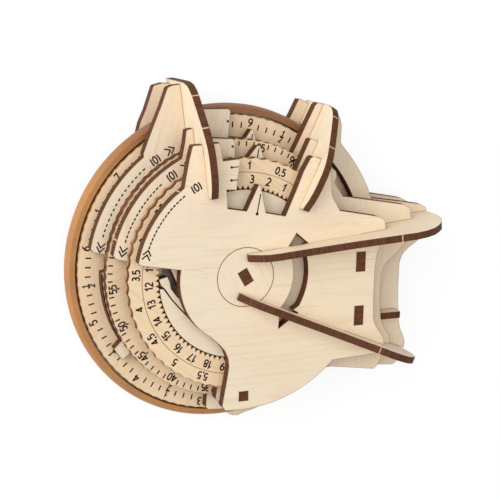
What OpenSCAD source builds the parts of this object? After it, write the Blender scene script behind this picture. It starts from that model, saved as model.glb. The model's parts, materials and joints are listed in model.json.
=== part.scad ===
// Opisometer: a hand-held plywood map measurer.
// A tyred wheel rolls along the map, and three ring dials read inches, centimetres and metres.
// It lies on its back plate: the wheel's axis is Z, the grip points along +X, and Z is up.

/* [Plywood] */
// Thickness of the plates, dials, discs and gears
ply = 3; // [2.8:0.1:3.2]
// Thickness of the boards that stand on edge
fin_ply = 2.1; // [1.9:0.1:2.6]
// Air between two neighbouring layers
layer_gap = 0.45; // [0.35:0.05:0.6]
// Clearance on each side of a glued board in its slot
slot_fit = 0.02; // [0.01:0.01:0.05]
// Radial clearance of a turning fit
turn_fit = 0.05; // [0.03:0.01:0.1]
// Clearance between moving pieces that only pass each other
pass_gap = 0.3; // [0.25:0.05:0.4]

/* [Measuring wheel] */
// Distance rolled in one turn of the wheel, which is twelve inches
roll_length = 304.8; // [300:0.1:308]
// Radial thickness of the tyre
tyre_wall = 2.5; // [2:0.1:2.6]
// How far the tyre's crown stands above its edges
tyre_crown = 0.9; // [0.5:0.1:1.2]
// Long side of the main axle's section
axle_long = 4.5; // [4:0.1:5]
// Direction of that long side
axle_turn = 119.5; // [90:0.5:150]
// Radius of the two discs that the axle turns on
journal_r = 8.75; // [7.5:0.05:9]

/* [Dials] */
// Outer radius of the inch dial
inch_r = 45.5; // [44.5:0.1:45.6]
// Outer radius of the centimetre dial
cm_r = 39; // [38:0.1:39.2]
// Outer radius of the metre and foot dial
metre_r = 34.55; // [33.5:0.05:34.6]
// Width of the inch dial, from its rim to the tips of its notches
inch_band = 9.1; // [8.5:0.1:10.5]
// Width of the centimetre dial
cm_band = 9.4; // [8.5:0.1:10]
// Width of the metre and foot dial
metre_band = 9.25; // [8.55:0.05:9.75]
// Depth of the reset notches
notch_depth = 0.9; // [0.6:0.1:1.1]
// Notches inside the inch dial, one for each eighth of an inch
inch_notches = 96; // [80:2:104]
// Notches inside the other two dials
dial_notches = 100; // [80:2:104]
// Depth of the finger scallops on the metre dial's rim
scallop_depth = 0.5; // [0.2:0.05:0.6]
// Scallops on the inch dial's rim
inch_scallops = 96; // [72:4:120]
// Scallops on the centimetre dial's rim
cm_scallops = 90; // [60:2:120]
// Scallops on the metre dial's rim
metre_scallops = 60; // [48:2:80]

/* [Gears] */
// Distance from the main axis to each planet pin
planet_offset = 9.6; // [9.5:0.05:9.9]
// Teeth of the fixed ring gear cut in the inch plate
fixed_teeth = 48; // [48:2:48]
// Teeth of the planet that rolls in it
low_teeth = 18; // [18:1:18]
// Teeth inside the centimetre carrier
cm_teeth = 46; // [46:2:46]
// Teeth of the planet that drives it
mid_teeth = 12; // [12:1:12]
// Teeth inside the metre carrier
metre_teeth = 44; // [44:2:44]
// Teeth of the planet that drives it
top_teeth = 17; // [17:1:17]
// Pressure angle of all the teeth
pressure_angle = 25; // [24:0.5:26]
// Play between meshing teeth, along the pitch circle
backlash = 0.2; // [0.15:0.01:0.24]
// Radius of the planet pins
pin_r = 1.5; // [1.3:0.05:1.6]

/* [Plates] */
// Outer radius of the front plate beside the left window
front_r = 32.9; // [32:0.1:34]
// Outer radius of the front plate at the bottom
front_low_r = 40; // [39:0.1:41]
// Outer radius of the centimetre plate beside the left window
mid_r = 38.3; // [37.5:0.1:39]
// Outer radius of the centimetre plate at the bottom
mid_low_r = 40.8; // [40:0.1:41.5]
// Outer radius of the inch plate beside the left window
rear_r = 43.1; // [42.5:0.1:44]
// Outer radius of the inch plate at the bottom
rear_low_r = 44.9; // [44:0.1:45.5]
// Outer radius of the guard that the inch plate holds over the tyre
guard_r = 51.1; // [50:0.1:52]
// Inner radius of that guard
guard_bore_r = 45.4; // [44.8:0.1:46]
// Outer radius of the back plate at the bottom
back_low_r = 51.8; // [50:0.1:53]
// Outer radius of the inch plate inside the left window
rear_window_r = 39.2; // [39:0.1:40]
// Radius of the windows' inner edge in the front plate
window_r = 20.1; // [19.6:0.1:20.6]
// Radius of the hole in the centimetre plate
mid_hole_r = 23.2; // [22:0.1:23.6]
// Direction of the pointers
dial_tilt = 80.5; // [79:0.5:82]

/* [Fins and grip] */
// Direction of the left ear fin
left_ear_turn = 97.2; // [96.4:0.1:98]
// Direction of the right ear fin
right_ear_turn = 64.7; // [64:0.1:65.4]
// Direction of the upper grip fin
upper_grip_turn = 5.7; // [5.2:0.1:6.4]
// Direction of the lower grip fin
lower_grip_turn = -23; // [-23.5:0.1:-22.5]
// Length of a grip fin
grip_length = 67.5; // [64:0.5:70]
// How far a grip fin stands above the front plate at its highest
grip_height = 9.4; // [7:0.2:11]
// How far an ear fin stands above the front plate at its highest
ear_height = 4.3; // [3.5:0.1:6]
// Length of each tenon of the grip bridge
tenon_long = 6; // [5:0.1:7]
// Side of the square bottom post
post_side = 2.9; // [2.6:0.1:3]

/* [Hidden] */

// Heights of the layers' lower faces, from the back plate up
step = ply + layer_gap;
back_z = 0;
wheel_z = step;
inch_z = wheel_z + ply;
rear_z = inch_z + step;
cm_z = rear_z + step;
mid_z = cm_z + step;
metre_z = mid_z + step;
front_z = metre_z + step;
top_z = front_z + ply;

wheel_r = roll_length / (2 * PI);
rim_r = wheel_r - tyre_wall;
inch_bore_r = inch_r - inch_band;
cm_bore_r = cm_r - cm_band;
metre_bore_r = metre_r - metre_band;
cut = 1;
smooth = 96;

// Rolling radii that follow from the tooth counts and the shared centre distance
function ring_module(ring, planet) = 2 * planet_offset / (ring - planet);
low_module = ring_module(fixed_teeth, low_teeth);
mid_module = ring_module(cm_teeth, mid_teeth);
top_module = ring_module(metre_teeth, top_teeth);
// Depth of a ring gear's tooth spaces beyond its pitch circle, in modules
ring_root = 1;
// Direction of the first planet
planet_turn = 35;

// ---- Outlines ----

// A point at radius r and angle a
function polar(r, a) = [r * cos(a), r * sin(a)];
// Points of an arc from angle a to angle b
function arc(r, a, b, n = 24) = [for (i = [0:n]) polar(r, a + (b - a) * i / n)];
// A spiral stretch from radius r at angle a to radius s at angle b
function spiral(r, a, s, b, n = 6) = [for (i = [0:n]) polar(r + (s - r) * i / n, a + (b - a) * i / n)];

// Angle by which an involute has unrolled at radius r from base radius b
function unroll(r, b) = r <= b ? 0 : sqrt(pow(r / b, 2) - 1) * 180 / PI - acos(b / r);

// Half of the angle that a tooth fills at radius r
function half_tooth(teeth, m, slack, r) =
    let (pitch_r = teeth * m / 2, base_r = pitch_r * cos(pressure_angle))
    90 / teeth - slack / pitch_r * 90 / PI
        + unroll(pitch_r, base_r) - unroll(r, base_r);

// A toothed outline, with a tooth on the X axis; slack narrows its teeth
module gear_outline(teeth, m, slack, head, foot) {
    pitch_r = teeth * m / 2;
    base_r = pitch_r * cos(pressure_angle);
    tip_r = pitch_r + head * m;
    root_r = pitch_r - foot * m;
    flank = [for (i = [0:3]) let (low = max(root_r, base_r)) low + (tip_r - low) * i / 3];
    polygon([for (k = [0:teeth - 1]) each concat(
        [polar(root_r, 360 / teeth * k - half_tooth(teeth, m, slack, root_r))],
        [for (r = flank) polar(r, 360 / teeth * k - half_tooth(teeth, m, slack, r))],
        [for (i = [3:-1:0]) polar(flank[i], 360 / teeth * k + half_tooth(teeth, m, slack, flank[i]))],
        [polar(root_r, 360 / teeth * k + half_tooth(teeth, m, slack, root_r))])]);
}

// The opening of a ring gear, with a tooth space towards each planet
module ring_gear(teeth, m) rotate(planet_turn) gear_outline(teeth, m, -backlash / 2, ring_root, 0.8);

// A flat sheet with its lower face at height z
module sheet(z, thick = ply) translate([0, 0, z]) linear_extrude(thick) children();

// A board that stands on edge: drawn along its own length and height, then turned about Z.
// Its left-hand face passes through the foot point.
module standing(foot, turn) translate([foot[0], foot[1], 0]) rotate([0, 0, turn])
    rotate([90, 0, 0]) linear_extrude(fin_ply) children();

// The slot that such a board passes through: it begins at start along the board and is open-ended
module board_slot(foot, turn, start) translate(foot) rotate(turn)
    translate([start - slot_fit, -fin_ply - slot_fit]) square([60, fin_ply + 2 * slot_fit]);

// ---- Where the standing boards start and point ----

left_ear_foot = [-11.7, 23.6];
right_ear_foot = [16.5, 19.4];
upper_grip_foot = [0.2, 6.85];
lower_grip_foot = [-1.96, -4.5];
// Where the boards begin in each plate, along their own length: back, inch, cm and front plate
ear_starts = [24.2, 18.7, 14.6, 12];
grip_starts = [51, 46.5, 42.5, 37.5];

module fin_slots(layer) {
    board_slot(left_ear_foot, left_ear_turn, ear_starts[layer]);
    board_slot(right_ear_foot, right_ear_turn, ear_starts[layer]);
    board_slot(upper_grip_foot, upper_grip_turn, grip_starts[layer]);
    board_slot(lower_grip_foot, lower_grip_turn, grip_starts[layer]);
}

bridge_x = 35.9;
bridge_low_y = -17.8;
bridge_high_y = 5;
heel_x = 46;
heel_end_x = 57.6;
heel_y = -20;
post_centre = [0, -36.3];

module bridge_holes() for (y = [bridge_low_y, bridge_high_y - tenon_long])
    translate([bridge_x - slot_fit, y - slot_fit]) square([ply + 2 * slot_fit, tenon_long + 2 * slot_fit]);

module heel_hole() translate([heel_x - slot_fit, heel_y - slot_fit])
    square([heel_end_x - heel_x + 2 * slot_fit, fin_ply + 2 * slot_fit]);

module post_hole() translate(post_centre) square(post_side + 2 * slot_fit, center = true);

// ---- Plates ----

front_outline = concat(
    [[-16.4, 38.7], [-16.7, 38.3], [-17.5, 35.1], [-18.2, 31.4], [-19, 26.8], [-20.5, 25.6]],
    arc(front_r, 131, 169, 20),
    [polar(front_r - 1, 170), polar(window_r, 170)],
    arc(window_r, 170, 238, 20),
    [[-7.6, -19.9], [-6.1, -21.8], [-5.1, -24.2], [-4.8, -26.6], [-5.2, -29.6]],
    [polar(front_low_r - 0.6, 260.1), polar(front_low_r + 0.6, 262)],
    arc(front_low_r + 0.4, 268, 316, 24),
    [[41, -27.7], [45.4, -27.4], [46.6, -25.6], [46.6, -23.4], [45.5, -21.3], [43.6, -18.9], [42.6, -16.4]],
    [[42.3, -11.6], [42.3, -1.1], [42.7, 3.3], [43.9, 6.5], [45.3, 10.4], [45.4, 12], [45.1, 14.1]],
    [[44, 15.1], [42.7, 15.6], [29.8, 18], [27.6, 21.5], [26.9, 23.5], [26.4, 31]],
    [[24.4, 33.6], [22.6, 33.8], [20.5, 34.5], [19.6, 34], [17.5, 30.2], [15.6, 25.4], [12.1, 17.3]],
    [[5.9, 18.6], polar(27, dial_tilt + 0.8), polar(27, dial_tilt + 2.2)],
    [[-0.1, 19.4], [-5.9, 20.4], [-6.3, 25.9], polar(25.9, 97.2)],
    [[-3, 28.7], [-2.3, 34], [-2.9, 34.5], [-7.5, 34.1], [-8.5, 39.2], [-14.2, 38.8]]);

// The reading window beside the grip: a curved arrow with a head at each end
module arrow_window() {
    polygon(concat(
        [polar(19.9, 37.4), polar(15.9, 32), polar(16.9, 28.5)],
        arc(15.2, 21, -40, 16),
        [polar(15.2, -43), polar(19.7, -57), polar(20.9, -35.4), polar(19, -36)],
        arc(19.9, -30, 18, 12),
        [polar(20.2, 23), polar(21.7, 23.6)]));
}

module front_plate() {
    color("BlanchedAlmond") sheet(front_z) difference() {
        polygon(front_outline);
        circle(journal_r + turn_fit, $fn = smooth);
        arrow_window();
        fin_slots(3);
        bridge_holes();
        post_hole();
    }
}

mid_outline = concat(
    [[-16.1, 42.1], [-16.5, 38.7], [-17.4, 34.2]],
    arc(mid_r, 119, 169, 24),
    [polar(mid_r - 1, 170.3)],
    arc(33, 171, 260.6, 24),
    [[-6.3, -38.7], [-4.9, -40.2]],
    arc(mid_low_r, 264, 312, 24),
    [[30.2, -32.3], [47.2, -35], [48.6, -33.8], [50.6, -30], [52.6, -26.6], [52.4, -24.6], [50.3, -21.6]],
    [[49, -18.8], [48.5, -15], [48.4, -6], [48.6, -3.8], [49.3, -1.8], [50.7, -0.2], [54.4, 2.9], [57, 5.6]],
    [[58.2, 9], [58.2, 12.5], [57.6, 16.1], [55.5, 17.4], [34.1, 21], [31.2, 25.3]],
    [[31.7, 26.9], [31.7, 28], [31.3, 29], [30.4, 29.4], [28.4, 33], [26.9, 36.8], [25.1, 37.9]],
    [[23.2, 38.7], [22.6, 38.6], [22.3, 38.1], polar(34, 58)],
    arc(33.6, 60, 76, 5),
    [polar(37.6, dial_tilt - 0.6), polar(37.6, dial_tilt + 0.8)],
    arc(33.6, 85.5, 92, 3),
    [[-1.2, 38.6], [-2, 39.4], [-9.5, 39.8], [-10.5, 42.2], [-14.3, 42.6], [-15.5, 42.4]]);

module cm_plate() {
    color("BlanchedAlmond") sheet(mid_z) difference() {
        polygon(mid_outline);
        circle(mid_hole_r, $fn = smooth);
        fin_slots(2);
        bridge_holes();
        post_hole();
    }
}

// The waist between the grip fins, in the two plates behind the wheel's dials
grip_waist = [[62.1, -29.6], [61.4, -27.3], [60.4, -25.5], [59.6, -22.6], [59, -17], [58.7, -11],
    [58.7, -3.2], [59.2, -1.3], [60.1, 0.4], [61.7, 1.8], [64.7, 3.8], [66.8, 6]];

rear_outline = concat(
    [[-19.6, 53.2], [-21.2, 48.7], [-23.1, 44], [-25, 39.3], [-26.6, 35]],
    arc(rear_r, 128, 169, 22),
    [polar(rear_r - 1, 170.2), polar(37.4, 170.8), polar(37.4, 178)],
    arc(rear_window_r, 178.4, 211, 18),
    [polar(42, 212), polar(42, 218), polar(38, 218)],
    arc(35.6, 219, 260, 14),
    [[-6.8, -43.7], [-6.1, -44.4]],
    arc(rear_low_r, 263, 308, 20),
    [[40, -35], [50, -36], [58, -36.8], [60.2, -35.4], [61.6, -32.6]],
    grip_waist,
    [[67.9, 9.4], [68, 13.1], [67.4, 14.7], [65.5, 15.8], [58.1, 17.1]],
    arc(guard_r, 21.4, 44.2, 12),
    [[36.2, 36.5], [36.3, 41.7], [35.8, 43.7], [33.6, 46.6], [30.4, 48.1], [28, 48.6], [27.2, 47.9]],
    [[20.5, 34.3], polar(39.2, 59)],
    arc(38.9, 61, 78, 5),
    [polar(41.6, dial_tilt - 0.5), polar(41.6, dial_tilt + 0.5)],
    arc(38.9, 83, 91, 3),
    [[-0.1, 46.6], [-0.8, 47.3], [-9.5, 47.4]],
    [[-11.6, 53], [-13.2, 54.4], [-15.7, 54.5], [-17.8, 54.3], [-19.2, 53.8]]);

// The slit between that plate's disc and its guard
module guard_slit() polygon(concat(arc(guard_bore_r, 21, 48, 14), arc(rear_window_r, 48, 21, 14)));

module inch_plate() {
    color("BlanchedAlmond") sheet(rear_z) difference() {
        polygon(rear_outline);
        ring_gear(fixed_teeth, low_module);
        guard_slit();
        fin_slots(1);
        heel_hole();
    }
}

back_outline = concat(
    [[-20.6, 53.1], [-22.8, 46.6], [-24.6, 42.5]],
    arc(44.5, 126, 272, 40),
    [[2, -48.6], [3, -49.6], [6, -51.4], [7.8, -51.6]],
    arc(back_low_r, 281, 310, 14),
    [[42, -37.4], [50, -37], [58, -37], [60.2, -35.6], [61.6, -32.6]],
    grip_waist,
    [[67.6, 9.4], [67.6, 13.1], [66, 15.1], [63.8, 16.3], [52.9, 18.3]],
    arc(guard_r, 22, 50, 14),
    [[32.6, 44.4], [31.2, 46.4], [29.4, 47.4], [27.3, 48.8], [26.3, 48.9], [23.6, 43.6]],
    arc(44.5, 63, 104, 12),
    [[-11.6, 53], [-13.2, 54], [-16.6, 54.1], [-17.7, 54.2], [-20.3, 53.5]]);

module back_plate() {
    color("BlanchedAlmond") sheet(back_z) difference() {
        polygon(back_outline);
        circle(journal_r + turn_fit, $fn = smooth);
        fin_slots(0);
        heel_hole();
    }
}

// ---- Standing boards ----

// Heights to which the boards rise at their low ends
ear_foot_rise = 2.2;
grip_tip_rise = 1.5;

// The stepped rear edge of a board that enters each plate at its own place, from the back up
function steps(starts) = [
    [starts[0], back_z], [starts[0], rear_z], [starts[1], rear_z], [starts[1], rear_z + ply],
    [starts[2], rear_z + ply], [starts[2], mid_z + ply], [starts[3], mid_z + ply], [starts[3], top_z]];

// An ear fin begins on the front plate, rises, and comes down outside all four plates
module ear_fin() color("AntiqueWhite") polygon(concat(steps(ear_starts), [
    [0, top_z], [0, top_z + ear_foot_rise], [2.9, top_z + ear_height * 0.81],
    [5.4, top_z + ear_height * 0.94], [8, top_z + ear_height], [12, top_z + ear_height * 0.98],
    [14.6, top_z + ear_height * 0.86], [16.6, top_z + ear_height * 0.67], [18.5, top_z + ear_height * 0.44],
    [20.5, top_z + ear_height * 0.16], [24.5, top_z - 1.9], [28.5, top_z - 4.6], [30.1, top_z - 6.2],
    [31.3, top_z - 8.1], [31.9, top_z - 10.9], [32, top_z - 15], [32, back_z]]));

module left_ear_fin() standing(left_ear_foot, left_ear_turn) ear_fin();
module right_ear_fin() standing(right_ear_foot, right_ear_turn) ear_fin();

// A grip fin passes over the front journal, lies on the front plate and goes down at the grip
module grip_fin() color("AntiqueWhite") polygon(concat(steps(grip_starts), [
    [10.5, top_z], [10.5, top_z + pass_gap], [0, top_z + pass_gap], [0, top_z + grip_tip_rise],
    [grip_length * 0.045, top_z + grip_height * 0.44], [grip_length * 0.075, top_z + grip_height * 0.56],
    [grip_length * 0.12, top_z + grip_height * 0.62], [grip_length * 0.2, top_z + grip_height * 0.64],
    [grip_length * 0.3, top_z + grip_height * 0.69], [grip_length * 0.47, top_z + grip_height * 0.77],
    [grip_length * 0.58, top_z + grip_height * 0.86], [grip_length * 0.68, top_z + grip_height * 0.94],
    [grip_length * 0.76, top_z + grip_height], [grip_length * 0.81, top_z + grip_height * 0.95],
    [grip_length * 0.86, top_z + grip_height * 0.81], [grip_length * 0.9, top_z + grip_height * 0.58],
    [grip_length * 0.94, top_z + grip_height * 0.28],
    [grip_length * 0.98, top_z - 2], [grip_length, top_z - 7],
    [grip_length, 3], [grip_length - 1.5, back_z]]));

module upper_grip_fin() standing(upper_grip_foot, upper_grip_turn) grip_fin();
module lower_grip_fin() standing(lower_grip_foot, lower_grip_turn) grip_fin();

// A bar between the front two plates at the grip, with two tenons into each
module grip_bridge() color("Tan") {
    translate([bridge_x, bridge_low_y - 1.2, mid_z + ply])
        cube([ply, bridge_high_y - bridge_low_y + 2.4, front_z - mid_z - ply]);
    for (y = [bridge_low_y, bridge_high_y - tenon_long])
        translate([bridge_x, y, mid_z]) cube([ply, tenon_long, top_z - mid_z]);
}

module heel_spacer() color("Tan") translate([heel_x, heel_y, back_z])
    cube([heel_end_x - heel_x, fin_ply, mid_z]);

module bottom_post() color("Tan") translate([-post_side / 2, post_centre[1] - post_side / 2, mid_z])
    cube([post_side, post_side, top_z - mid_z]);

// ---- Wheel ----

module axle_hole(clear) rotate(axle_turn)
    square([axle_long + 2 * clear, ply + 2 * clear], center = true);

module pin_places() for (a = [planet_turn, planet_turn + 180])
    rotate(a) translate([planet_offset, 0]) children();

module tyre_band() {
    low = wheel_z;
    high = inch_z + ply - 0.3;
    mid = (low + high) / 2;
    color("Peru") rotate_extrude($fn = smooth) polygon(concat(
        [[rim_r + turn_fit, low], [wheel_r - tyre_crown, low]],
        [for (i = [0:10]) let (t = -1 + i / 5)
            [wheel_r - tyre_crown * t * t, mid + t * (high - low) / 2 * 0.94]],
        [[wheel_r - tyre_crown, high], [rim_r + turn_fit, high]]));
}

module wheel_disc() color("BurlyWood") sheet(wheel_z) difference() {
    circle(rim_r, $fn = smooth);
    axle_hole(slot_fit);
    pin_places() circle(pin_r + turn_fit, $fn = 48);
}

// A disc with a spring pawl cut free at its rim; r is the disc's radius
module pawl_disc(r, turn) difference() {
    circle(r, $fn = smooth);
    rotate(turn) polygon([
        polar(r - 2.6, -11), polar(r + cut, -11), polar(r + cut, 5.4),
        polar(r - 1.1, 6.6), polar(r - 2.85, 16), polar(r - 4.1, 25), polar(r - 4.8, 32),
        polar(r - 5.05, 38), polar(r - 5.05, 46.5), polar(r - 5.45, 46.5), polar(r - 5.45, 38),
        polar(r - 5.15, 32), polar(r - 4.45, 25), polar(r - 3.2, 16), polar(r - 1.5, 6.4),
        polar(r - 0.5, 3.8), polar(r, 0.4), polar(r, -0.4), polar(r - 2.4, -2),
        polar(r - 3.1, 2.2), polar(r - 3.3, 7.4), polar(r - 4.6, 14.6), polar(r - 5.6, 20.5),
        polar(r - 6.1, 23), polar(r - 6.2, 15), polar(r - 6, 10.2), polar(r - 4.9, 1), polar(r - 3.2, -7.7)]);
}

carrier_fit = 0.2;
pawl_turn = 179.6;

module inch_carrier() color("Wheat") sheet(inch_z) difference() {
    pawl_disc(inch_bore_r - carrier_fit, pawl_turn);
    axle_hole(slot_fit);
    pin_places() circle(pin_r + turn_fit, $fn = 48);
}

module main_axle() color("SaddleBrown") sheet(back_z, top_z) axle_hole(0);

module journal(z) color("Wheat") sheet(z) difference() {
    circle(journal_r, $fn = smooth);
    axle_hole(slot_fit);
}
module front_journal() journal(front_z);
module rear_journal() journal(back_z);

// The arm that steadies both planet pins, in the hole of the centimetre plate
module planet_arm() color("Wheat") sheet(mid_z) difference() {
    rotate(planet_turn) {
        square([2 * planet_offset, 7], center = true);
        for (x = [-planet_offset, planet_offset]) translate([x, 0]) circle(3.5, $fn = 48);
        circle(5.5, $fn = 48);
    }
    axle_hole(slot_fit);
    pin_places() circle(pin_r + turn_fit, $fn = 48);
}

// ---- Dials ----

// A ring dial with hollow finger scallops outside and reset notches inside.
// The cusp between two scallops stands at angle start.
module dial(outer, bore, notches, scallops, depth, start) difference() {
    polygon([for (i = [0:scallops - 1], t = [0, 1 / 12, 1 / 4, 1 / 2, 3 / 4, 11 / 12])
        polar(outer - depth * sin(180 * t), start + 360 * (i + t) / scallops)]);
    polygon([for (i = [0:notches - 1]) each [
        polar(bore, 360 * (i - 0.3) / notches),
        polar(bore + notch_depth, 360 * i / notches),
        polar(bore, 360 * (i + 0.3) / notches)]]);
}

module inch_ring() color("Moccasin") sheet(inch_z + 0.1, ply - 0.1)
    dial(inch_r, inch_bore_r, inch_notches, inch_scallops, scallop_depth * 0.4, 0);
module cm_ring() color("Moccasin") sheet(cm_z)
    dial(cm_r, cm_bore_r, dial_notches, cm_scallops, scallop_depth * 0.6, 1.2);
module metre_ring() color("Moccasin") sheet(metre_z)
    dial(metre_r, metre_bore_r, dial_notches, metre_scallops, scallop_depth, 5.5);

module cm_carrier() color("Wheat") sheet(cm_z) difference() {
    pawl_disc(cm_bore_r - carrier_fit, pawl_turn);
    ring_gear(cm_teeth, mid_module);
}

module metre_carrier() color("Wheat") sheet(metre_z) difference() {
    pawl_disc(metre_bore_r - carrier_fit, pawl_turn);
    ring_gear(metre_teeth, top_module);
}

// ---- Planets ----

module at_planet(a) rotate([0, 0, a]) translate([planet_offset, 0, 0]) children();

module planet_gear(teeth, m, z) sheet(z) difference() {
    gear_outline(teeth, m, backlash / 2, 0.8, 1);
    circle(pin_r + slot_fit, $fn = 48);
}

module planet_pin() color("SaddleBrown") translate([0, 0, wheel_z])
    cylinder(h = metre_z + ply - wheel_z, r = pin_r, $fn = 48);
module planet_low() color("Sienna") planet_gear(low_teeth, low_module, rear_z);
module planet_mid() color("Peru") planet_gear(mid_teeth, mid_module, cm_z);
module planet_top() color("Sienna") planet_gear(top_teeth, top_module, metre_z);

back_plate();
inch_plate();
cm_plate();
front_plate();
left_ear_fin();
right_ear_fin();
upper_grip_fin();
lower_grip_fin();
grip_bridge();
heel_spacer();
bottom_post();
tyre_band();
wheel_disc();
inch_carrier();
main_axle();
front_journal();
rear_journal();
planet_arm();
inch_ring();
cm_carrier();
cm_ring();
metre_carrier();
metre_ring();
at_planet(planet_turn) planet_pin();  // planet_a_pin
at_planet(planet_turn) planet_low();  // planet_a_low_gear
at_planet(planet_turn) planet_mid();  // planet_a_mid_gear
at_planet(planet_turn) planet_top();  // planet_a_top_gear
at_planet(planet_turn + 180) planet_pin();  // planet_b_pin
at_planet(planet_turn + 180) planet_low();  // planet_b_low_gear
at_planet(planet_turn + 180) planet_mid();  // planet_b_mid_gear
at_planet(planet_turn + 180) planet_top();  // planet_b_top_gear
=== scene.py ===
"""Finishes the CAD model of a laser-cut plywood map-measuring wheel.

Adds the birch faces and charred edges, the engraved dials and plates, the tyre's rubber and the stage.
"""

import json
import math

import bmesh
import bpy
from bpy.props import FloatProperty, FloatVectorProperty, PointerProperty
from mathutils import Matrix, Vector


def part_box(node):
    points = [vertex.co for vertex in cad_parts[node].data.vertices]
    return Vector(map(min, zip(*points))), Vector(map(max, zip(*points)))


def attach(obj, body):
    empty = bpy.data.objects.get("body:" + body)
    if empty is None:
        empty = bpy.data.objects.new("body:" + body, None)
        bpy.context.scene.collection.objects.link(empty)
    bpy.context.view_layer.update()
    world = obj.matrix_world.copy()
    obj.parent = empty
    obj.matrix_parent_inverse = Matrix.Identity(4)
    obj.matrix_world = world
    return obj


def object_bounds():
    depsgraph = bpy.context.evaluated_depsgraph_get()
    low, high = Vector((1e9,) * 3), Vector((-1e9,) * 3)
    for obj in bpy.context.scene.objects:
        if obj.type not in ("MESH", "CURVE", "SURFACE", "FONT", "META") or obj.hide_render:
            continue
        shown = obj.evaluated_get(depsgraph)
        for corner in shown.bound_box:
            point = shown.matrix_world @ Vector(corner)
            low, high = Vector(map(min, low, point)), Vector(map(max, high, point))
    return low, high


bl_info = {
    "name": "Map Measuring Wheel",
    "version": (1, 0, 0),
    "blender": (4, 5, 0),
    "location": "View3D > Sidebar > Map Wheel",
    "description": "Finishes a plywood map-measuring wheel and sets its stage",
    "category": "Object",
}

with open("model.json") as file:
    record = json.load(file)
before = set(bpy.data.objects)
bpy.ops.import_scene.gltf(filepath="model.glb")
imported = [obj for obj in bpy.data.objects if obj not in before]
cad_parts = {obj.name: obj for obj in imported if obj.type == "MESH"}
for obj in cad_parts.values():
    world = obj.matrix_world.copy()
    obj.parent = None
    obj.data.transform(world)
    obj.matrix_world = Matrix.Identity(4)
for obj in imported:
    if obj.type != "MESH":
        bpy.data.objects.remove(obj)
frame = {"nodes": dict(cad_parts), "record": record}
cad_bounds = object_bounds()

MM = 0.001
UP = Vector((0, 0, 1))
# The inputs of a Mix node for colours: how much, the colour below, and the colour laid over it.
MIX_SHARE, MIX_BELOW, MIX_OVER = 0, 6, 7

# Boards that stand on edge, with the direction in which each one runs, in degrees from +X.
STANDING = {
    "left_ear_fin": 97.2,
    "right_ear_fin": 64.7,
    "upper_grip_fin": 5.7,
    "lower_grip_fin": -23.0,
    "grip_bridge": 90.0,
    "heel_spacer": 0.0,
    "bottom_post": 0.0,
    "main_axle": 119.5,
}
# The direction of the grain in each flat sheet, in degrees from +X. The others run at 0.
GRAIN = {
    "cm_plate": 84.0,
    "inch_plate": 74.0,
    "back_plate": 78.0,
    "inch_ring": 63.0,
    "cm_ring": 21.0,
    "metre_ring": -38.0,
    "metre_carrier": 12.0,
    "front_journal": -64.0,
}
# Sheets whose teeth are too fine for the full width of scorched rim.
FINE = ("gear", "carrier", "arm")
DOWELS = ("planet_a_pin", "planet_b_pin")
# Boards whose ends show in the front plate, with their glue lines.
ENDS = ("grip_bridge", "main_axle", "bottom_post")

RINGS = ("inch_ring", "cm_ring", "metre_ring")

# Each scale's zero in degrees from +X, and the degrees for each of its units (clockwise is negative).
INCH_ZERO, INCH_STEP = -10.14, -30.0
CM_ZERO, CM_STEP = 23.17, -3.6
METRE_ZERO, METRE_STEP = 50.5, 36.0
FOOT_ZERO, FOOT_STEP = 51.4, 36.0 * 0.3048
# Division marks: node, the piece's name, middle radius and length in mm, how many places there are, their
# zero and step, and how many places there are to each bare one. The first place is always bare.
TICKS = (
    ("inch_ring", "divisions", 42.35, 1.72, 96, INCH_ZERO, INCH_STEP / 8, 4),
    ("cm_ring", "divisions", 37.6, 1.45, 100, CM_ZERO, CM_STEP, 5),
    ("cm_ring", "short_divisions", 35.45, 0.9, 20, CM_ZERO + CM_STEP * 5, CM_STEP * 5, 21),
)
# Numbers: node, radius of the foot of the figures, their height in mm, the figures, zero and step.
HALF_METRES = [f"{n / 2:g}".replace(".", ",") for n in range(20)]
NUMBERS = (
    ("inch_ring", 42.3, 2.25, [str(n) for n in range(12)], INCH_ZERO, INCH_STEP),
    ("inch_ring", 40.5, 3.5, ["½"] * 12, INCH_ZERO + INCH_STEP / 2, INCH_STEP),
    ("cm_ring", 35.9, 2.1, [str(n) for n in range(0, 100, 5)], CM_ZERO, 5 * CM_STEP),
    ("metre_ring", 31.0, 2.05, HALF_METRES, METRE_ZERO, METRE_STEP / 2),
    ("metre_ring", 27.1, 2.15, [str(n) for n in range(1, 33)], FOOT_ZERO + FOOT_STEP, FOOT_STEP),
)
# The circle between metres and feet: its radius in mm, and its sides.
FEET_CIRCLE, CIRCLE_SIDES = 30.2, 240
# Pointer lines on the plates: node, inner and outer radius in mm, direction.
POINTERS = (
    ("front_plate", 19.0, 24.5, 80.3),
    ("cm_plate", 34.0, 36.9, 80.3),
    ("inch_plate", 38.7, 40.4, 80.0),
)
# How far inside the front plate's pointer line the middle of its round foot lies, in mm.
POINTER_FOOT = 0.3
# Widths of what is drawn on the plates, in strokes. The feet and dots give their radius.
POINTER_WIDTH, FOOT_RADIUS, DOT_RADIUS, DASH_WIDTH = 0.8, 1.1, 0.9, 0.7
DOT_SIDES = 12
# Reset marks: node, radius in mm, the direction of the dashes' first and last, of the zero, and the chevrons'
# directions with the way in which they point (1 is anticlockwise).
RESETS = (
    ("inch_plate", 40.3, 163.0, 131.0, 124.9, ((167.6, 1), (117.8, -1))),
    ("cm_plate", 35.8, 161.5, 131.5, 124.7, ((166.2, 1), (117.0, -1))),
    ("front_plate", 31.0, 160.0, 128.0, 119.8, ((164.5, -1),)),
)
# A reset arc: how many dashes it has, half the length of one, and the height of its figures, in mm.
RESET_DASHES, HALF_DASH, RESET_FIGURES = 15, 0.45, 2.2
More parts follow.
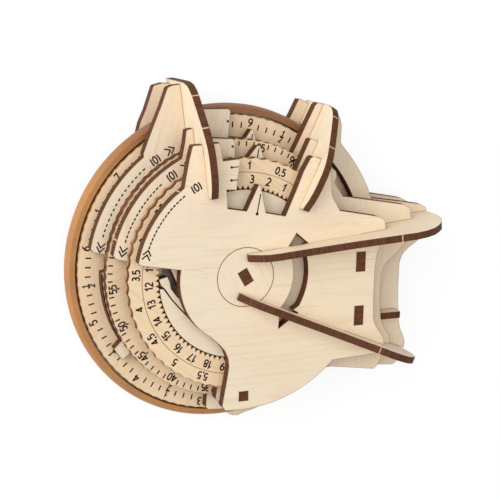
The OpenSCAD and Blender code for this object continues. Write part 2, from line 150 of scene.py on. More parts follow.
# A chevron in mm: how far its wings reach back and aside, how far its tip lies past the direction given, and
# how far the second one lies ahead of the first.
CHEVRON_BACK, CHEVRON_ASIDE, CHEVRON_TIP, CHEVRON_NEXT = 1.5, 1.2, 0.3, 1.3
# Dots and dashes that lead to a dial from its edge of the plate: node, then points in mm.
UNIT_DOTS = (
    ("inch_plate", (-0.9, 43.7)),
    ("cm_plate", (-2.0, 37.2)),
    ("front_plate", (-4.9, 32.2)),
    ("front_plate", (-4.9, 28.5)),
)
UNIT_DASHES = (("front_plate", (-4.9, 32.2), (-2.8, 32.3)), ("front_plate", (-4.9, 28.5), (-3.1, 28.6)))
# A dark band drawn along the edge of a window in a plate: node, radius and width in mm, first and last
# direction.
WINDOW_DARK_BANDS = (("inch_plate", 39.0, 0.36, 179.0, 211.0),)
DARK_BAND_SIDES = 32
# How far a scorched rim lies over its face and how thick it is, in mm.
RIM_LIFT, RIM_THICKNESS = 0.012, 0.02
# The stub of a tab: its width and how far it stands proud in mm, and its share of the sheet's thickness.
BRIDGE_WIDTH, BRIDGE_PROUD, BRIDGE_SHARE = 0.42, 0.02, 0.98
# Where a tab held a sheet in its board: node, and a point in mm beside the edge.
BRIDGES = (
    ("right_ear_fin", (25.76, 37.03, 27.75)),
    ("right_ear_fin", (30.49, 44.75, 21.7)),
    ("left_ear_fin", (-13.17, 43.63, 27.66)),
    ("left_ear_fin", (-13.89, 52.15, 22.0)),
    ("upper_grip_fin", (46.3, 10.66, 35.57)),
    ("lower_grip_fin", (40.26, -23.98, 35.6)),
    ("front_plate", (-20.3, 25.9, 25.2)),
    ("cm_plate", (-36.6, 11.7, 18.3)),
)
# Painted shade on the tyre: where it begins and where it is full, along +Y in mm.
TYRE_SHADE_SPAN = (27, 43)
# Lamps: name, place in metres, side of the square in metres, and watts. They all aim at the origin.
LAMPS = (
    ("key_lamp", (-0.8, 0.42, 0.56), 0.9, 8.7),
    ("fill_lamp", (0.2, 0.05, 1.0), 0.8, 2.6),
)
# The strength of the pale surround.
SURROUND = 0.45
# The floor's own light, how much of it the camera sees, and how far the floor lies below the object in mm.
FLOOR_GLOW, FLOOR_SHARE, FLOOR_DROP = 1.05, 0.8, 0.05


def linear(hex_code):
    """Turns an sRGB hex colour to linear red, green, blue and alpha."""
    parts = [int(hex_code[i:i + 2], 16) / 255 for i in (0, 2, 4)]
    return tuple(p / 12.92 if p <= 0.04045 else ((p + 0.055) / 1.055) ** 2.4 for p in parts) + (1.0,)


def colour(name, description, hex_code):
    """A colour that the user can change, given as sRGB hex."""
    return FloatVectorProperty(name=name, description=description, subtype="COLOR", size=4,
                               min=0, max=1, default=linear(hex_code))


def length(name, description, millimetres):
    """A length that the user can change, given in millimetres and kept in metres."""
    return FloatProperty(name=name, description=description, subtype="DISTANCE", unit="LENGTH",
                         min=0, precision=5, default=millimetres * MM)


class PlywoodLook(bpy.types.PropertyGroup):
    """Finish of the laser-cut birch plywood."""
    veneer: colour("Veneer", "Sanded birch face", "F1DFC3")
    grain: colour("Grain", "Darker streaks of the birch face", "E4CDA9")
    # This tint is painted warm bounce light, laid on the recessed dials.
    dial: colour("Dial", "Tint of the handled veneer of the dials", "FFF4E6")
    flush: colour("Flush", "Warm patches in the birch face", "ECD0B4")
    toast: colour("Toast", "Face veneer browned by the heat beside a cut", "C08A52")
    char: colour("Char", "Laser-cut edge", "5A3218")
    # The scallop colour is also painted light on the inch ring's wall, where it lightens the shaded gap
    # beside the tyre.
    scallop: colour("Scallop", "Golden scorch beside the scallops of a dial", "BC8A50")
    clean_edge: colour("Clean edge", "Lower part of an edge that the beam left pale", "AE875C")
    soot: colour("Soot", "Glue lines and burnt rims of a cut", "341A0C")
    bridge: colour("Bridge", "Unburnt tabs that held the pieces in their sheet", "D9B58C")
    rim_width: length("Rim width", "Width of the scorched rim along each cut", 0.3)
    fine_rim_width: length("Fine rim width", "Width of the scorched rim round fine teeth", 0.14)
    ply: length("Veneer thickness", "One of the three veneers of the sheet", 1.0)


class EngravingLook(bpy.types.PropertyGroup):
    """Sizes and colours of what the laser engraves."""
    line: colour("Line", "Engraved line", "2E1608")
    depth: length("Depth", "Thickness of the burnt mark", 0.03)
    tick_width: length("Tick width", "Width of a division mark", 0.42)
    hairline: length("Hairline", "Width of a fine engraved line", 0.18)
    stroke: length("Stroke", "Width of an engraved line on a plate", 0.42)
    figure_width: length("Figure width", "Width of the strokes of a figure", 0.44)
    score: colour("Score", "Line scored by a light pass", "8E6434")


class TyreLook(bpy.types.PropertyGroup):
    """Finish of the rubber band on the wheel."""
    rubber: colour("Rubber", "Amber rubber", "BE8245")
    worn: colour("Worn", "Dusty patches of the rubber", "B07A45")
    # This colour is painted shade, laid on the tyre towards +Y.
    rolled: colour("Rolled", "Browner side of the tread", "8E5A30")


class StageLook(bpy.types.PropertyGroup):
    """Camera and floor."""
    floor: colour("Floor", "Seamless paper under the object", "FFFFFF")
    camera_at: FloatVectorProperty(name="Camera place", description="Where the camera stands",
                                   subtype="TRANSLATION", unit="LENGTH", default=(-0.12256, 0.07881, 0.32483))
    camera_turn: FloatVectorProperty(name="Camera turn", description="How the camera is turned",
                                     subtype="EULER", unit="ROTATION",
                                     default=tuple(math.radians(a) for a in (-12.829, -22.294, 1.183)))
    lens: FloatProperty(name="Lens", description="Focal length on a 36 mm sensor", subtype="DISTANCE_CAMERA",
                        default=82.506)
    floor_side: length("Floor side", "Width of the floor", 3000)


def feed(tree, made, sockets):
    """Sets a node's inputs to values, or links them to sockets or to the first live outputs of nodes."""
    for name, value in sockets.items():
        if isinstance(value, bpy.types.Node):
            value = next(output for output in value.outputs if output.enabled)
        if isinstance(value, bpy.types.NodeSocket):
            tree.links.new(value, made.inputs[name])
        else:
            made.inputs[name].default_value = value


def add_node(tree, kind, sockets=None, stops=(), **settings):
    """Adds a node: settings are its attributes, and stops the (place, colour) pairs of a colour ramp."""
    made = tree.nodes.new(kind)
    for name, value in settings.items():
        setattr(made, name, value)
    if stops:
        bar = made.color_ramp.elements
        while len(bar) < len(stops):
            bar.new(0.5)
        for element, (place, shade) in zip(bar, stops):
            element.position = place
            element.color = shade
    feed(tree, made, sockets or {})
    return made


def layered(tree, base, *layers):
    """Lays colours over a base: each layer is how much of it, its colour and the way in which it blends."""
    for share, shade, way in layers:
        base = add_node(tree, "ShaderNodeMix", {MIX_SHARE: share, MIX_BELOW: base, MIX_OVER: shade},
                        data_type="RGBA", blend_type=way)
    return base


def grey(level):
    """A grey of that linear level."""
    return (level, level, level, 1.0)


def new_material(name):
    """A material with only its output and surface shader, which it also returns."""
    material = bpy.data.materials.new(name)
    material.use_nodes = True
    tree = material.node_tree
    tree.nodes.clear()
    shader = add_node(tree, "ShaderNodeBsdfPrincipled")
    add_node(tree, "ShaderNodeOutputMaterial", {"Surface": shader})
    return material, tree, shader


def sheet_axes(node):
    """The directions along the grain, across it and through the sheet that a node is cut from."""
    if node in STANDING:
        turn = math.radians(STANDING[node])
        along = Vector((math.cos(turn), math.sin(turn), 0))
        return along, UP, Vector((math.sin(turn), -math.cos(turn), 0))
    turn = math.radians(GRAIN.get(node, 0.0))
    along = Vector((math.cos(turn), math.sin(turn), 0))
    return along, UP.cross(along), UP


def laser_cut_birch(node):
    """Birch plywood cut by laser: a pale matt face with long fine grain, and a charred edge.

    The edge shows the three veneers between darker glue lines, streaked from face to face by the beam. The
    dials get a warmer tint, which is painted warm bounce light of their recesses, and the beam left the
    scallops of their rims golden. The inch ring's wall is golden nearly all over, which is painted light in
    the shaded gap beside the tyre.
    """
    look = bpy.context.scene.plywood_look
    material, tree, shader = new_material("laser_cut_birch_" + node)
    along, crosswise, through = sheet_axes(node)
    start = min(v.co.dot(through) for v in frame["nodes"][node].data.vertices)

    place = add_node(tree, "ShaderNodeTexCoord").outputs["Object"]
    own = [add_node(tree, "ShaderNodeVectorMath", {0: place, 1: axis / MM}, operation="DOT_PRODUCT")
           for axis in (along, crosswise, through)]
    in_sheet = add_node(tree, "ShaderNodeCombineXYZ", {"X": own[0], "Y": own[1], "Z": own[2]})

    def fibres(per_mm, detail):
        """Noise whose cells are 1 / per_mm millimetres along, across and through the sheet."""
        spread = add_node(tree, "ShaderNodeVectorMath", {0: in_sheet, 1: per_mm}, operation="MULTIPLY")
        return add_node(tree, "ShaderNodeTexNoise", {"Vector": spread, "Scale": 1.0, "Detail": detail,
                                                     "Roughness": 0.6})

    # Face: annual rings cut along the log are streaks 1 to 3 mm wide and tens of millimetres long.
    streaks = add_node(tree, "ShaderNodeValToRGB", {"Fac": fibres((0.035, 0.9, 0.1), 4.0)},
                       ((0.4, look.veneer), (0.52, look.veneer), (0.78, look.grain)))
    patches = add_node(tree, "ShaderNodeValToRGB", {"Fac": fibres((0.03, 0.09, 0.05), 2.0)},
                       ((0.48, grey(0)), (0.72, grey(0.5))))
    # Birch pores are 0.1 mm wide, drawn at about 0.25 mm so that they show.
    pores = add_node(tree, "ShaderNodeValToRGB", {"Fac": fibres((0.45, 4.0, 1.0), 2.0)},
                     ((0.3, grey(0.9)), (0.45, grey(1))))
    face = layered(tree, streaks, (patches, look.flush, "MIX"), (1.0, pores, "MULTIPLY"))
    # Painted warm bounce light: the recessed dials get a warmer tint.
    if node in RINGS:
        face = layered(tree, face, (1.0, look.dial, "MULTIPLY"))

    # Rim: the heat of the beam browns the veneer beside the cut. The rim meshes carry how much, in "burn".
    burn = add_node(tree, "ShaderNodeAttribute", attribute_name="burn").outputs["Fac"]
    toasted = add_node(tree, "ShaderNodeValToRGB", {"Fac": burn},
                       ((0.0, grey(0)), (0.45, grey(0.16)), (0.8, grey(0.6))))
    charred = add_node(tree, "ShaderNodeValToRGB", {"Fac": burn}, ((0.66, grey(0)), (0.92, grey(1))))
    face = layered(tree, face, (toasted, look.toast, "MIX"),
                   (charred, look.scallop if node in RINGS else look.char, "MIX"))

    # Edge: veneers between glue lines, with streaks of about 0.3 mm left by the beam.
    depth = add_node(tree, "ShaderNodeMath", {0: own[2], 1: start / MM}, operation="SUBTRACT")
    plies = add_node(tree, "ShaderNodeMath", {0: depth, 1: 3 * look.ply / MM}, operation="DIVIDE")
    bands = add_node(tree, "ShaderNodeValToRGB", {"Fac": plies}, (
        (0.0, look.soot), (0.07, look.char), (0.3, look.char), (0.335, look.soot), (0.37, look.char),
        (0.63, look.char), (0.665, look.soot), (0.7, look.char), (0.93, look.char), (1.0, look.soot)))
    beam = add_node(tree, "ShaderNodeValToRGB", {"Fac": fibres((3.2, 3.2, 0.25), 2.0)},
                    ((0.35, grey(0.62)), (0.66, grey(1.5))))
    edge = layered(tree, look.char, (1.0 if node in ENDS else 0.45, bands, "MIX"))
    if node in RINGS:
        golden = add_node(tree, "ShaderNodeValToRGB", {"Fac": fibres((0.12, 0.12, 0.02), 1.0)},
                          ((0.58, grey(0.0)), (0.72, grey(0.3))))
        # Painted light: the inch ring's wall takes 0.85 of the golden tone, which lightens the shade of its
        # narrow gap beside the tyre. The other dials get golden patches at random.
        edge = layered(tree, edge, (0.85 if node == "inch_ring" else golden, look.scallop, "MIX"))
    edge = layered(tree, edge, (1.0, beam, "MULTIPLY"))
    if node == "metre_ring":
        # The lower half of this dial's wall stayed pale.
        clean = add_node(tree, "ShaderNodeValToRGB", {"Fac": plies}, ((0.3, grey(1)), (0.5, grey(0))))
        edge = layered(tree, edge, (clean, look.clean_edge, "MIX"))

    # What faces along the sheet's thickness, to within about 45 degrees, is face, and the rest is edge.
    normal = add_node(tree, "ShaderNodeNewGeometry").outputs["Normal"]
    facing = add_node(tree, "ShaderNodeVectorMath", {0: normal, 1: through}, operation="DOT_PRODUCT")
    either_way = add_node(tree, "ShaderNodeMath", {0: facing}, operation="ABSOLUTE")
    on_face = add_node(tree, "ShaderNodeMath", {0: either_way, 1: 0.7}, operation="GREATER_THAN")
    rough = add_node(tree, "ShaderNodeMapRange", {"Value": on_face, "To Min": 0.88, "To Max": 0.6})
    relief = add_node(tree, "ShaderNodeBump", {"Height": fibres((0.3, 3.0, 0.6), 3.0), "Strength": 0.35,
                                               "Distance": 0.03 * MM})
    feed(tree, shader, {"Base Color": layered(tree, edge, (on_face, face, "MIX")), "Roughness": rough,
                        "Normal": relief})
    return material


def birch_dowel():
    """Turned birch dowel: pale, matt, with grain along its length and no char."""
    look = bpy.context.scene.plywood_look
    material, tree, shader = new_material("birch_dowel")
    place = add_node(tree, "ShaderNodeTexCoord").outputs["Object"]
    grain = add_node(tree, "ShaderNodeMapping", {"Vector": place, "Scale": (2.0 / MM, 2.0 / MM, 0.1 / MM)})
    noise = add_node(tree, "ShaderNodeTexNoise", {"Vector": grain, "Scale": 1.0, "Detail": 3.0})
    tone = add_node(tree, "ShaderNodeValToRGB", {"Fac": noise}, ((0.35, look.veneer), (0.7, look.grain)))
    feed(tree, shader, {"Base Color": tone, "Roughness": 0.6})
    return material


def engraved_char(depth="deep"):
    """A mark burnt into birch by laser: matt, uneven and dark brown, or golden brown from a light pass."""
    look = bpy.context.scene.engraving_look
    tone = look.line if depth == "deep" else look.score
    material, tree, shader = new_material("engraved_char_" + depth)
    place = add_node(tree, "ShaderNodeTexCoord").outputs["Object"]
    noise = add_node(tree, "ShaderNodeTexNoise", {"Vector": place, "Scale": 1.8 / MM, "Detail": 2.0})
    passes = add_node(tree, "ShaderNodeValToRGB", {"Fac": noise}, ((0.3, grey(0.75)), (0.7, grey(1.35))))
    feed(tree, shader, {"Base Color": layered(tree, tone, (1.0, passes, "MULTIPLY")), "Roughness": 0.9})
    return material


def bare_bridge():
    """The stub of a tab that held the piece in its sheet: snapped birch, pale and rough."""
    look = bpy.context.scene.plywood_look
    material, tree, shader = new_material("bare_bridge")
    place = add_node(tree, "ShaderNodeTexCoord").outputs["Object"]
    noise = add_node(tree, "ShaderNodeTexNoise", {"Vector": place, "Scale": 2.5 / MM, "Detail": 3.0})
    tone = add_node(tree, "ShaderNodeValToRGB", {"Fac": noise}, ((0.3, look.toast), (0.6, look.bridge)))
    feed(tree, shader, {"Base Color": tone, "Roughness": 0.85})
    return material


def amber_rubber():
    """Natural amber rubber, moulded: satin, cloudy and dusty in its fine grain, with painted shade towards
    +Y.
    """
    look = bpy.context.scene.tyre_look
    material, tree, shader = new_material("amber_rubber")
    place = add_node(tree, "ShaderNodeTexCoord").outputs["Object"]
    cloud = add_node(tree, "ShaderNodeTexNoise", {"Vector": place, "Scale": 0.12 / MM, "Detail": 3.0})
    specks = add_node(tree, "ShaderNodeTexNoise", {"Vector": place, "Scale": 1.4 / MM, "Detail": 4.0})
    tone = add_node(tree, "ShaderNodeValToRGB", {"Fac": cloud}, ((0.35, look.rubber), (0.7, look.worn)))
    # Painted shade: the rubber turns darker brown towards +Y, standing in for the shade on that side of the
    # tyre.
    across = add_node(tree, "ShaderNodeSeparateXYZ", {"Vector": place}).outputs["Y"]
    shade_share = add_node(tree, "ShaderNodeMapRange", {"Value": across, "From Min": TYRE_SHADE_SPAN[0] * MM,
                                                 "From Max": TYRE_SHADE_SPAN[1] * MM})
    dust = add_node(tree, "ShaderNodeValToRGB", {"Fac": specks}, ((0.35, grey(0.9)), (0.65, grey(1.06))))
    relief = add_node(tree, "ShaderNodeBump", {"Height": specks, "Strength": 0.4, "Distance": 0.04 * MM})
    tone = layered(tree, tone, (shade_share, look.rolled, "MIX"), (1.0, dust, "MULTIPLY"))
    feed(tree, shader, {"Base Color": tone, "Roughness": 0.5, "IOR": 1.52, "Normal": relief})
    return material


def shared(make, *words):
    """The material that make gives for those words, made once."""
    name = "_".join((make.__name__,) + words)
    return bpy.data.materials.get(name) or make(*words)


def placed(name, mesh, body, *materials):
    """Links a mesh, in the frame's own place and size, as a plywood piece that rides on body."""
    piece = bpy.data.objects.new(name, mesh)
    bpy.context.scene.collection.objects.link(piece)
    for material in materials:
        mesh.materials.append(material)
    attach(piece, body)
    return piece


def within_cad(point):
    """The point, pulled into the CAD model's box."""
    return Vector([min(max(c, low), high) for c, low, high in zip(point, *cad_bounds)])


def rim_faces(bm, node, width, lift, index):
    """Adds a strip just inside every outline of a node's flat faces, burnt at the outline and bare inside.

    The lowest faces of all have none, because they lie on the table.
    """
    through = sheet_axes(node)[2]
    # The node's mesh is loose triangles, so a copy is merged first, and only its flat faces are kept.
    part = bmesh.new()
    part.from_mesh(frame["nodes"][node].data)
    bmesh.ops.remove_doubles(part, verts=part.verts, dist=0.002 * MM)
    part.normal_update()
    sides = [f for f in part.faces if abs(f.normal.dot(through)) < 0.99]
    bmesh.ops.delete(part, geom=sides, context="FACES")
    outline = {v for e in part.edges if len(e.link_faces) == 1 for v in e.verts}
    strip = bmesh.ops.inset_region(part, faces=part.faces[:], use_boundary=True, use_even_offset=True,
                                   thickness=width)["faces"]
    burn = bm.verts.layers.float["burn"]
    copies = {}

    def copied(vertex, normal):
        """The vertex's copy in bm, lifted off the face with that normal."""
        key = (vertex.index, normal.dot(through) > 0)
        if key not in copies:
            copies[key] = bm.verts.new(within_cad(vertex.co + normal * lift))
            copies[key][burn] = 1.0 if vertex in outline else 0.0
        return copies[key]

    part.verts.index_update()
    for face in strip:
        normal = face.normal.copy()
        if through == UP and face.calc_center_median().z < cad_bounds[0][2] + lift:
            continue
        made = bm.faces.new([copied(v, normal) for v in face.verts])
        made.material_index = index
    part.free()


class WHEEL_OT_finish_plywood(bpy.types.Operator):
    """Give every plywood piece its birch face and charred edge"""
    bl_idname = "map_wheel.finish_plywood"
    bl_label = "Finish plywood"

    def execute(self, context):
        for name, node in frame["nodes"].items():
            if name == "tyre_band":
                continue
            node.data.materials.clear()
            node.data.materials.append(shared(birch_dowel) if name in DOWELS else laser_cut_birch(name))
        return {"FINISHED"}


class WHEEL_OT_scorch_rims(bpy.types.Operator):
    """Lay the scorched rims along the cuts of every sheet"""
    bl_idname = "map_wheel.scorch_rims"
    bl_label = "Scorch rims"

    def execute(self, context):
        look = context.scene.plywood_look
        for body, names in frame["record"]["behaviour"]["bodies"].items():
            sheets = [n for n in names if n not in DOWELS and n != "tyre_band"]
            if not sheets:
                continue
            bm = bmesh.new()
            bm.verts.layers.float.new("burn")
            for index, name in enumerate(sheets):
                fine = any(word in name for word in FINE)
                width = look.fine_rim_width if fine else look.rim_width
                rim_faces(bm, name, width, RIM_LIFT * MM, index)
            mesh = bpy.data.meshes.new("scorched_rims_" + body)
            bm.to_mesh(mesh)
            bm.free()
            materials = [bpy.data.materials["laser_cut_birch_" + n] for n in sheets]
            rims = placed("scorched_rims_" + body, mesh, body, *materials)
            veneer = rims.modifiers.new("veneer", "SOLIDIFY")
            veneer.thickness = RIM_THICKNESS * MM
        return {"FINISHED"}


def body_of(node):
    """The body that carries a CAD node."""
    return next(body for body, names in frame["record"]["behaviour"]["bodies"].items() if node in names)


def face_height(node):
    """The height of a flat sheet's upper face, in millimetres."""
    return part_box(node)[1][2] / MM


def prism(bm, outline, low, high):
    """A closed upright prism over a flat outline that runs anticlockwise; all in millimetres."""
    feet = [bm.verts.new(Vector((x, y, low)) * MM) for x, y in outline]
    heads = [bm.verts.new(Vector((x, y, high)) * MM) for x, y in outline]
    bm.faces.new(heads)
    bm.faces.new(feet[::-1])
    for i in range(len(outline)):
        j = (i + 1) % len(outline)
        bm.faces.new((feet[i], feet[j], heads[j], heads[i]))


def stroke(bm, points, width, low, high):
    """A line of that width through flat points, with mitred corners, as one closed bar.

    It closes on itself where its last point is its first. Sharp corners have their mitre cut short.
    """
    sharpest = 0.3
    points = [Vector(p) for p in points]
    loop = (points[0] - points[-1]).length < 1e-6
    if loop:
        points.pop()
    count = len(points)
    sections = []
    for i, point in enumerate(points):
        before = (point - points[i - 1]).normalized() if i or loop else None
        after = (points[(i + 1) % count] - point).normalized() if i + 1 < count or loop else before
        before = before or after
        mitre = (before + after).normalized()
        side = Vector((-mitre.y, mitre.x)) * (width / 2 / max(mitre.dot(before), sharpest))
        left, right = point + side, point - side
        sections.append([bm.verts.new(Vector((x, y, z)) * MM) for (x, y), z in
                         ((left, low), (right, low), (right, high), (left, high))])
    for i in range(count if loop else count - 1):
        here, there = sections[i], sections[(i + 1) % count]
        for k in range(4):
            n = (k + 1) % 4
            bm.faces.new((here[k], there[k], there[n], here[n])[::-1])
    if not loop:
        bm.faces.new(sections[0][::-1])
        bm.faces.new(sections[-1])


def bow(across, up, wide, tall, first, last, sides=12):
    """Points of an elliptic bow round (across, up), in parts of a figure's height, between two directions."""
    turns = [math.radians(first + (last - first) * i / sides) for i in range(sides + 1)]
    return [(across + wide * math.cos(t), up + tall * math.sin(t)) for t in turns]


# Figures as the strokes of a laser, in parts of their height: the advance of each, then its lines.
FIGURES = {
    "0": (0.7, [bow(0.0, 0.5, 0.25, 0.5, 90, 450, 18)]),
    "1": (0.56, [[(-0.2, 0.74), (0.06, 1.0), (0.06, 0.0)]]),
    "2": (0.68, [bow(0.0, 0.73, 0.24, 0.27, 160, -30) + [(-0.26, 0.0), (0.28, 0.0)]]),
    "3": (0.66, [bow(-0.02, 0.76, 0.23, 0.24, 140, -80) + bow(-0.02, 0.27, 0.26, 0.27, 80, -145)]),
    "4": (0.7, [[(0.3, 0.28), (-0.28, 0.28), (0.12, 1.0)], [(0.12, 1.0), (0.12, 0.0)]]),
    "5": (0.66, [[(0.22, 1.0), (-0.19, 1.0), (-0.22, 0.55)] + bow(-0.02, 0.31, 0.26, 0.31, 105, -140)]),
    "6": (0.68, [bow(0.0, 0.3, 0.25, 0.3, 90, 450, 16),
                 [(-0.25, 0.3), (-0.2, 0.62), (0.02, 0.9), (0.2, 1.0)]]),
    "7": (0.66, [[(-0.26, 1.0), (0.27, 1.0), (-0.08, 0.0)]]),
    "8": (0.68, [bow(0.0, 0.77, 0.2, 0.23, 90, 450, 14), bow(0.0, 0.27, 0.25, 0.27, 90, 450, 16)]),
    "9": (0.68, [bow(0.0, 0.7, 0.25, 0.3, 90, 450, 16),
                 [(0.25, 0.7), (0.2, 0.38), (-0.02, 0.1), (-0.2, 0.0)]]),
    ",": (0.34, [[(0.04, 0.1), (-0.04, -0.18)]]),
    "(": (0.42, [bow(0.22, 0.45, 0.24, 0.66, 125, 235)]),
    ")": (0.42, [bow(-0.22, 0.45, 0.24, 0.66, 55, -55)]),
}


def flat_polar(radius, degrees):
    """A flat point in millimetres at that radius and angle round the axle."""
    turn = math.radians(degrees)
    return Vector((radius * math.cos(turn), radius * math.sin(turn)))


def engraved(name, node, bm, depth="deep"):
    """Keeps a finished bmesh as an engraved piece that rides with its sheet."""
    mesh = bpy.data.meshes.new(name)
    bm.to_mesh(mesh)
    bm.free()
    placed(name, mesh, body_of(node), shared(engraved_char, depth))


def write(bm, text, foot, angle, height, width, low, high):
    """Writes figures with their feet at that radius and their heads outwards. A half is stacked."""
    if text == "½":
        small, thin = height * 0.44, width * 0.85
        write(bm, "1", foot + height * 0.56, angle, small, thin, low, high)
        write(bm, "2", foot, angle, small, thin, low, high)
        bar = [flat_polar(foot + height * 0.5, angle + math.degrees(side * height * 0.2 / foot))
               for side in (-1, 1)]
        stroke(bm, bar, thin, low, high)
        return
    outwards = flat_polar(1, angle)
    rightwards = Vector((outwards.y, -outwards.x))
    across = -sum(FIGURES[c][0] for c in text) / 2
    for c in text:
        advance, lines = FIGURES[c]
        for line in lines:
            stroke(bm, [outwards * (foot + y * height) + rightwards * ((across + advance / 2 + x) * height)
                        for x, y in line], width, low, high)
        across += advance


def write_round(bm, node, foot, height, texts, zero, step):
    """Writes texts on a sheet, each a step round from the one before."""
    look = bpy.context.scene.engraving_look
    depth, high = look.depth / MM, face_height(node)
    for i, text in enumerate(texts):
        write(bm, text, foot, zero + step * i, height, look.figure_width / MM, high - depth, high + depth)


def division_tree():
    """Geometry Nodes that set equal marks round an arc, and leave bare each place that a number takes."""
    tree = bpy.data.node_groups.new("divisions", "GeometryNodeTree")
    for kind, names in (("Int", ("Count", "Bare every")),
                        ("Float", ("Radius", "Length", "Width", "Depth", "Height", "Zero", "Step")),
                        ("Material", ("Material",))):
        for name in names:
            tree.interface.new_socket(name, in_out="INPUT", socket_type="NodeSocket" + kind)
    tree.interface.new_socket("Geometry", in_out="OUTPUT", socket_type="NodeSocketGeometry")
    given = add_node(tree, "NodeGroupInput").outputs
    index = add_node(tree, "GeometryNodeInputIndex")
    passed = add_node(tree, "ShaderNodeMath", {0: given["Step"], 1: index}, operation="MULTIPLY")
    angle = add_node(tree, "ShaderNodeMath", {0: given["Zero"], 1: passed}, operation="ADD")
    flat = []
    for wave in ("COSINE", "SINE"):
        share = add_node(tree, "ShaderNodeMath", {0: angle}, operation=wave)
        flat.append(add_node(tree, "ShaderNodeMath", {0: given["Radius"], 1: share}, operation="MULTIPLY"))
    place = add_node(tree, "ShaderNodeCombineXYZ", {"X": flat[0], "Y": flat[1], "Z": given["Height"]})
    row = add_node(tree, "GeometryNodeMeshLine", {"Count": given["Count"]})
    points = add_node(tree, "GeometryNodeSetPosition", {"Geometry": row, "Position": place})
    size = add_node(tree, "ShaderNodeCombineXYZ", {"X": given["Length"], "Y": given["Width"],
                                                   "Z": given["Depth"]})
    mark = add_node(tree, "GeometryNodeMeshCube", {"Size": size})
    in_turn = add_node(tree, "ShaderNodeMath", {0: index, 1: given["Bare every"]}, operation="MODULO")
    kept = add_node(tree, "ShaderNodeMath", {0: in_turn, 1: 0.5}, operation="GREATER_THAN")
    turn = add_node(tree, "ShaderNodeCombineXYZ", {"Z": angle})
    marks = add_node(tree, "GeometryNodeInstanceOnPoints", {"Points": points, "Selection": kept,
                                                            "Instance": mark, "Rotation": turn})
    real = add_node(tree, "GeometryNodeRealizeInstances", {"Geometry": marks})
    burnt = add_node(tree, "GeometryNodeSetMaterial", {"Geometry": real, "Material": given["Material"]})
    add_node(tree, "NodeGroupOutput", {"Geometry": burnt})
    return tree


class WHEEL_OT_engrave_divisions(bpy.types.Operator):
    """Burn the division marks into the dials"""
    bl_idname = "map_wheel.engrave_divisions"
    bl_label = "Engrave divisions"

    def execute(self, context):
        look = context.scene.engraving_look
        tree = division_tree()
        sockets = {item.name: item.identifier for item in tree.interface.items_tree if item.in_out == "INPUT"}
        for node, row, radius, span, count, zero, step, every in TICKS:
            values = {"Count": count, "Bare every": every, "Radius": radius * MM, "Length": span * MM,
                      "Zero": math.radians(zero), "Step": math.radians(step), "Width": look.tick_width,
                      "Depth": look.depth * 2, "Height": face_height(node) * MM,
                      "Material": shared(engraved_char, "deep")}
            self.divide(tree, sockets, node, f"{node}_{row}", values)
        return {"FINISHED"}

    def divide(self, tree, sockets, node, name, values):
        """Runs the tree with those values and keeps its mesh as an engraved piece."""
        holder = bpy.data.objects.new(name, bpy.data.meshes.new(name + "_seed"))
        bpy.context.scene.collection.objects.link(holder)
        modifier = holder.modifiers.new("divisions", "NODES")
        modifier.node_group = tree
        for key, value in values.items():
            modifier[sockets[key]] = value
        holder.update_tag()
        ready = bpy.context.evaluated_depsgraph_get()
        mesh = bpy.data.meshes.new_from_object(holder.evaluated_get(ready))
        bpy.data.objects.remove(holder)
        placed(name, mesh, body_of(node))


class WHEEL_OT_engrave_numbers(bpy.types.Operator):
    """Burn the figures and the circle between metres and feet into the dials"""
    bl_idname = "map_wheel.engrave_numbers"
    bl_label = "Engrave numbers"

    def execute(self, context):
        look = context.scene.engraving_look
        depth = look.depth / MM
        for node in RINGS:
            bm = bmesh.new()
            for row in NUMBERS:
                if row[0] == node:
                    write_round(bm, *row)
            engraved(node + "_figures", node, bm)
        bm = bmesh.new()
        high = face_height("metre_ring")
        circle = [flat_polar(FEET_CIRCLE, 360 * i / CIRCLE_SIDES) for i in range(CIRCLE_SIDES + 1)]
        stroke(bm, circle, look.hairline / MM, high - depth, high + depth)
        engraved("metre_ring_circle", "metre_ring", bm, "light")
        return {"FINISHED"}


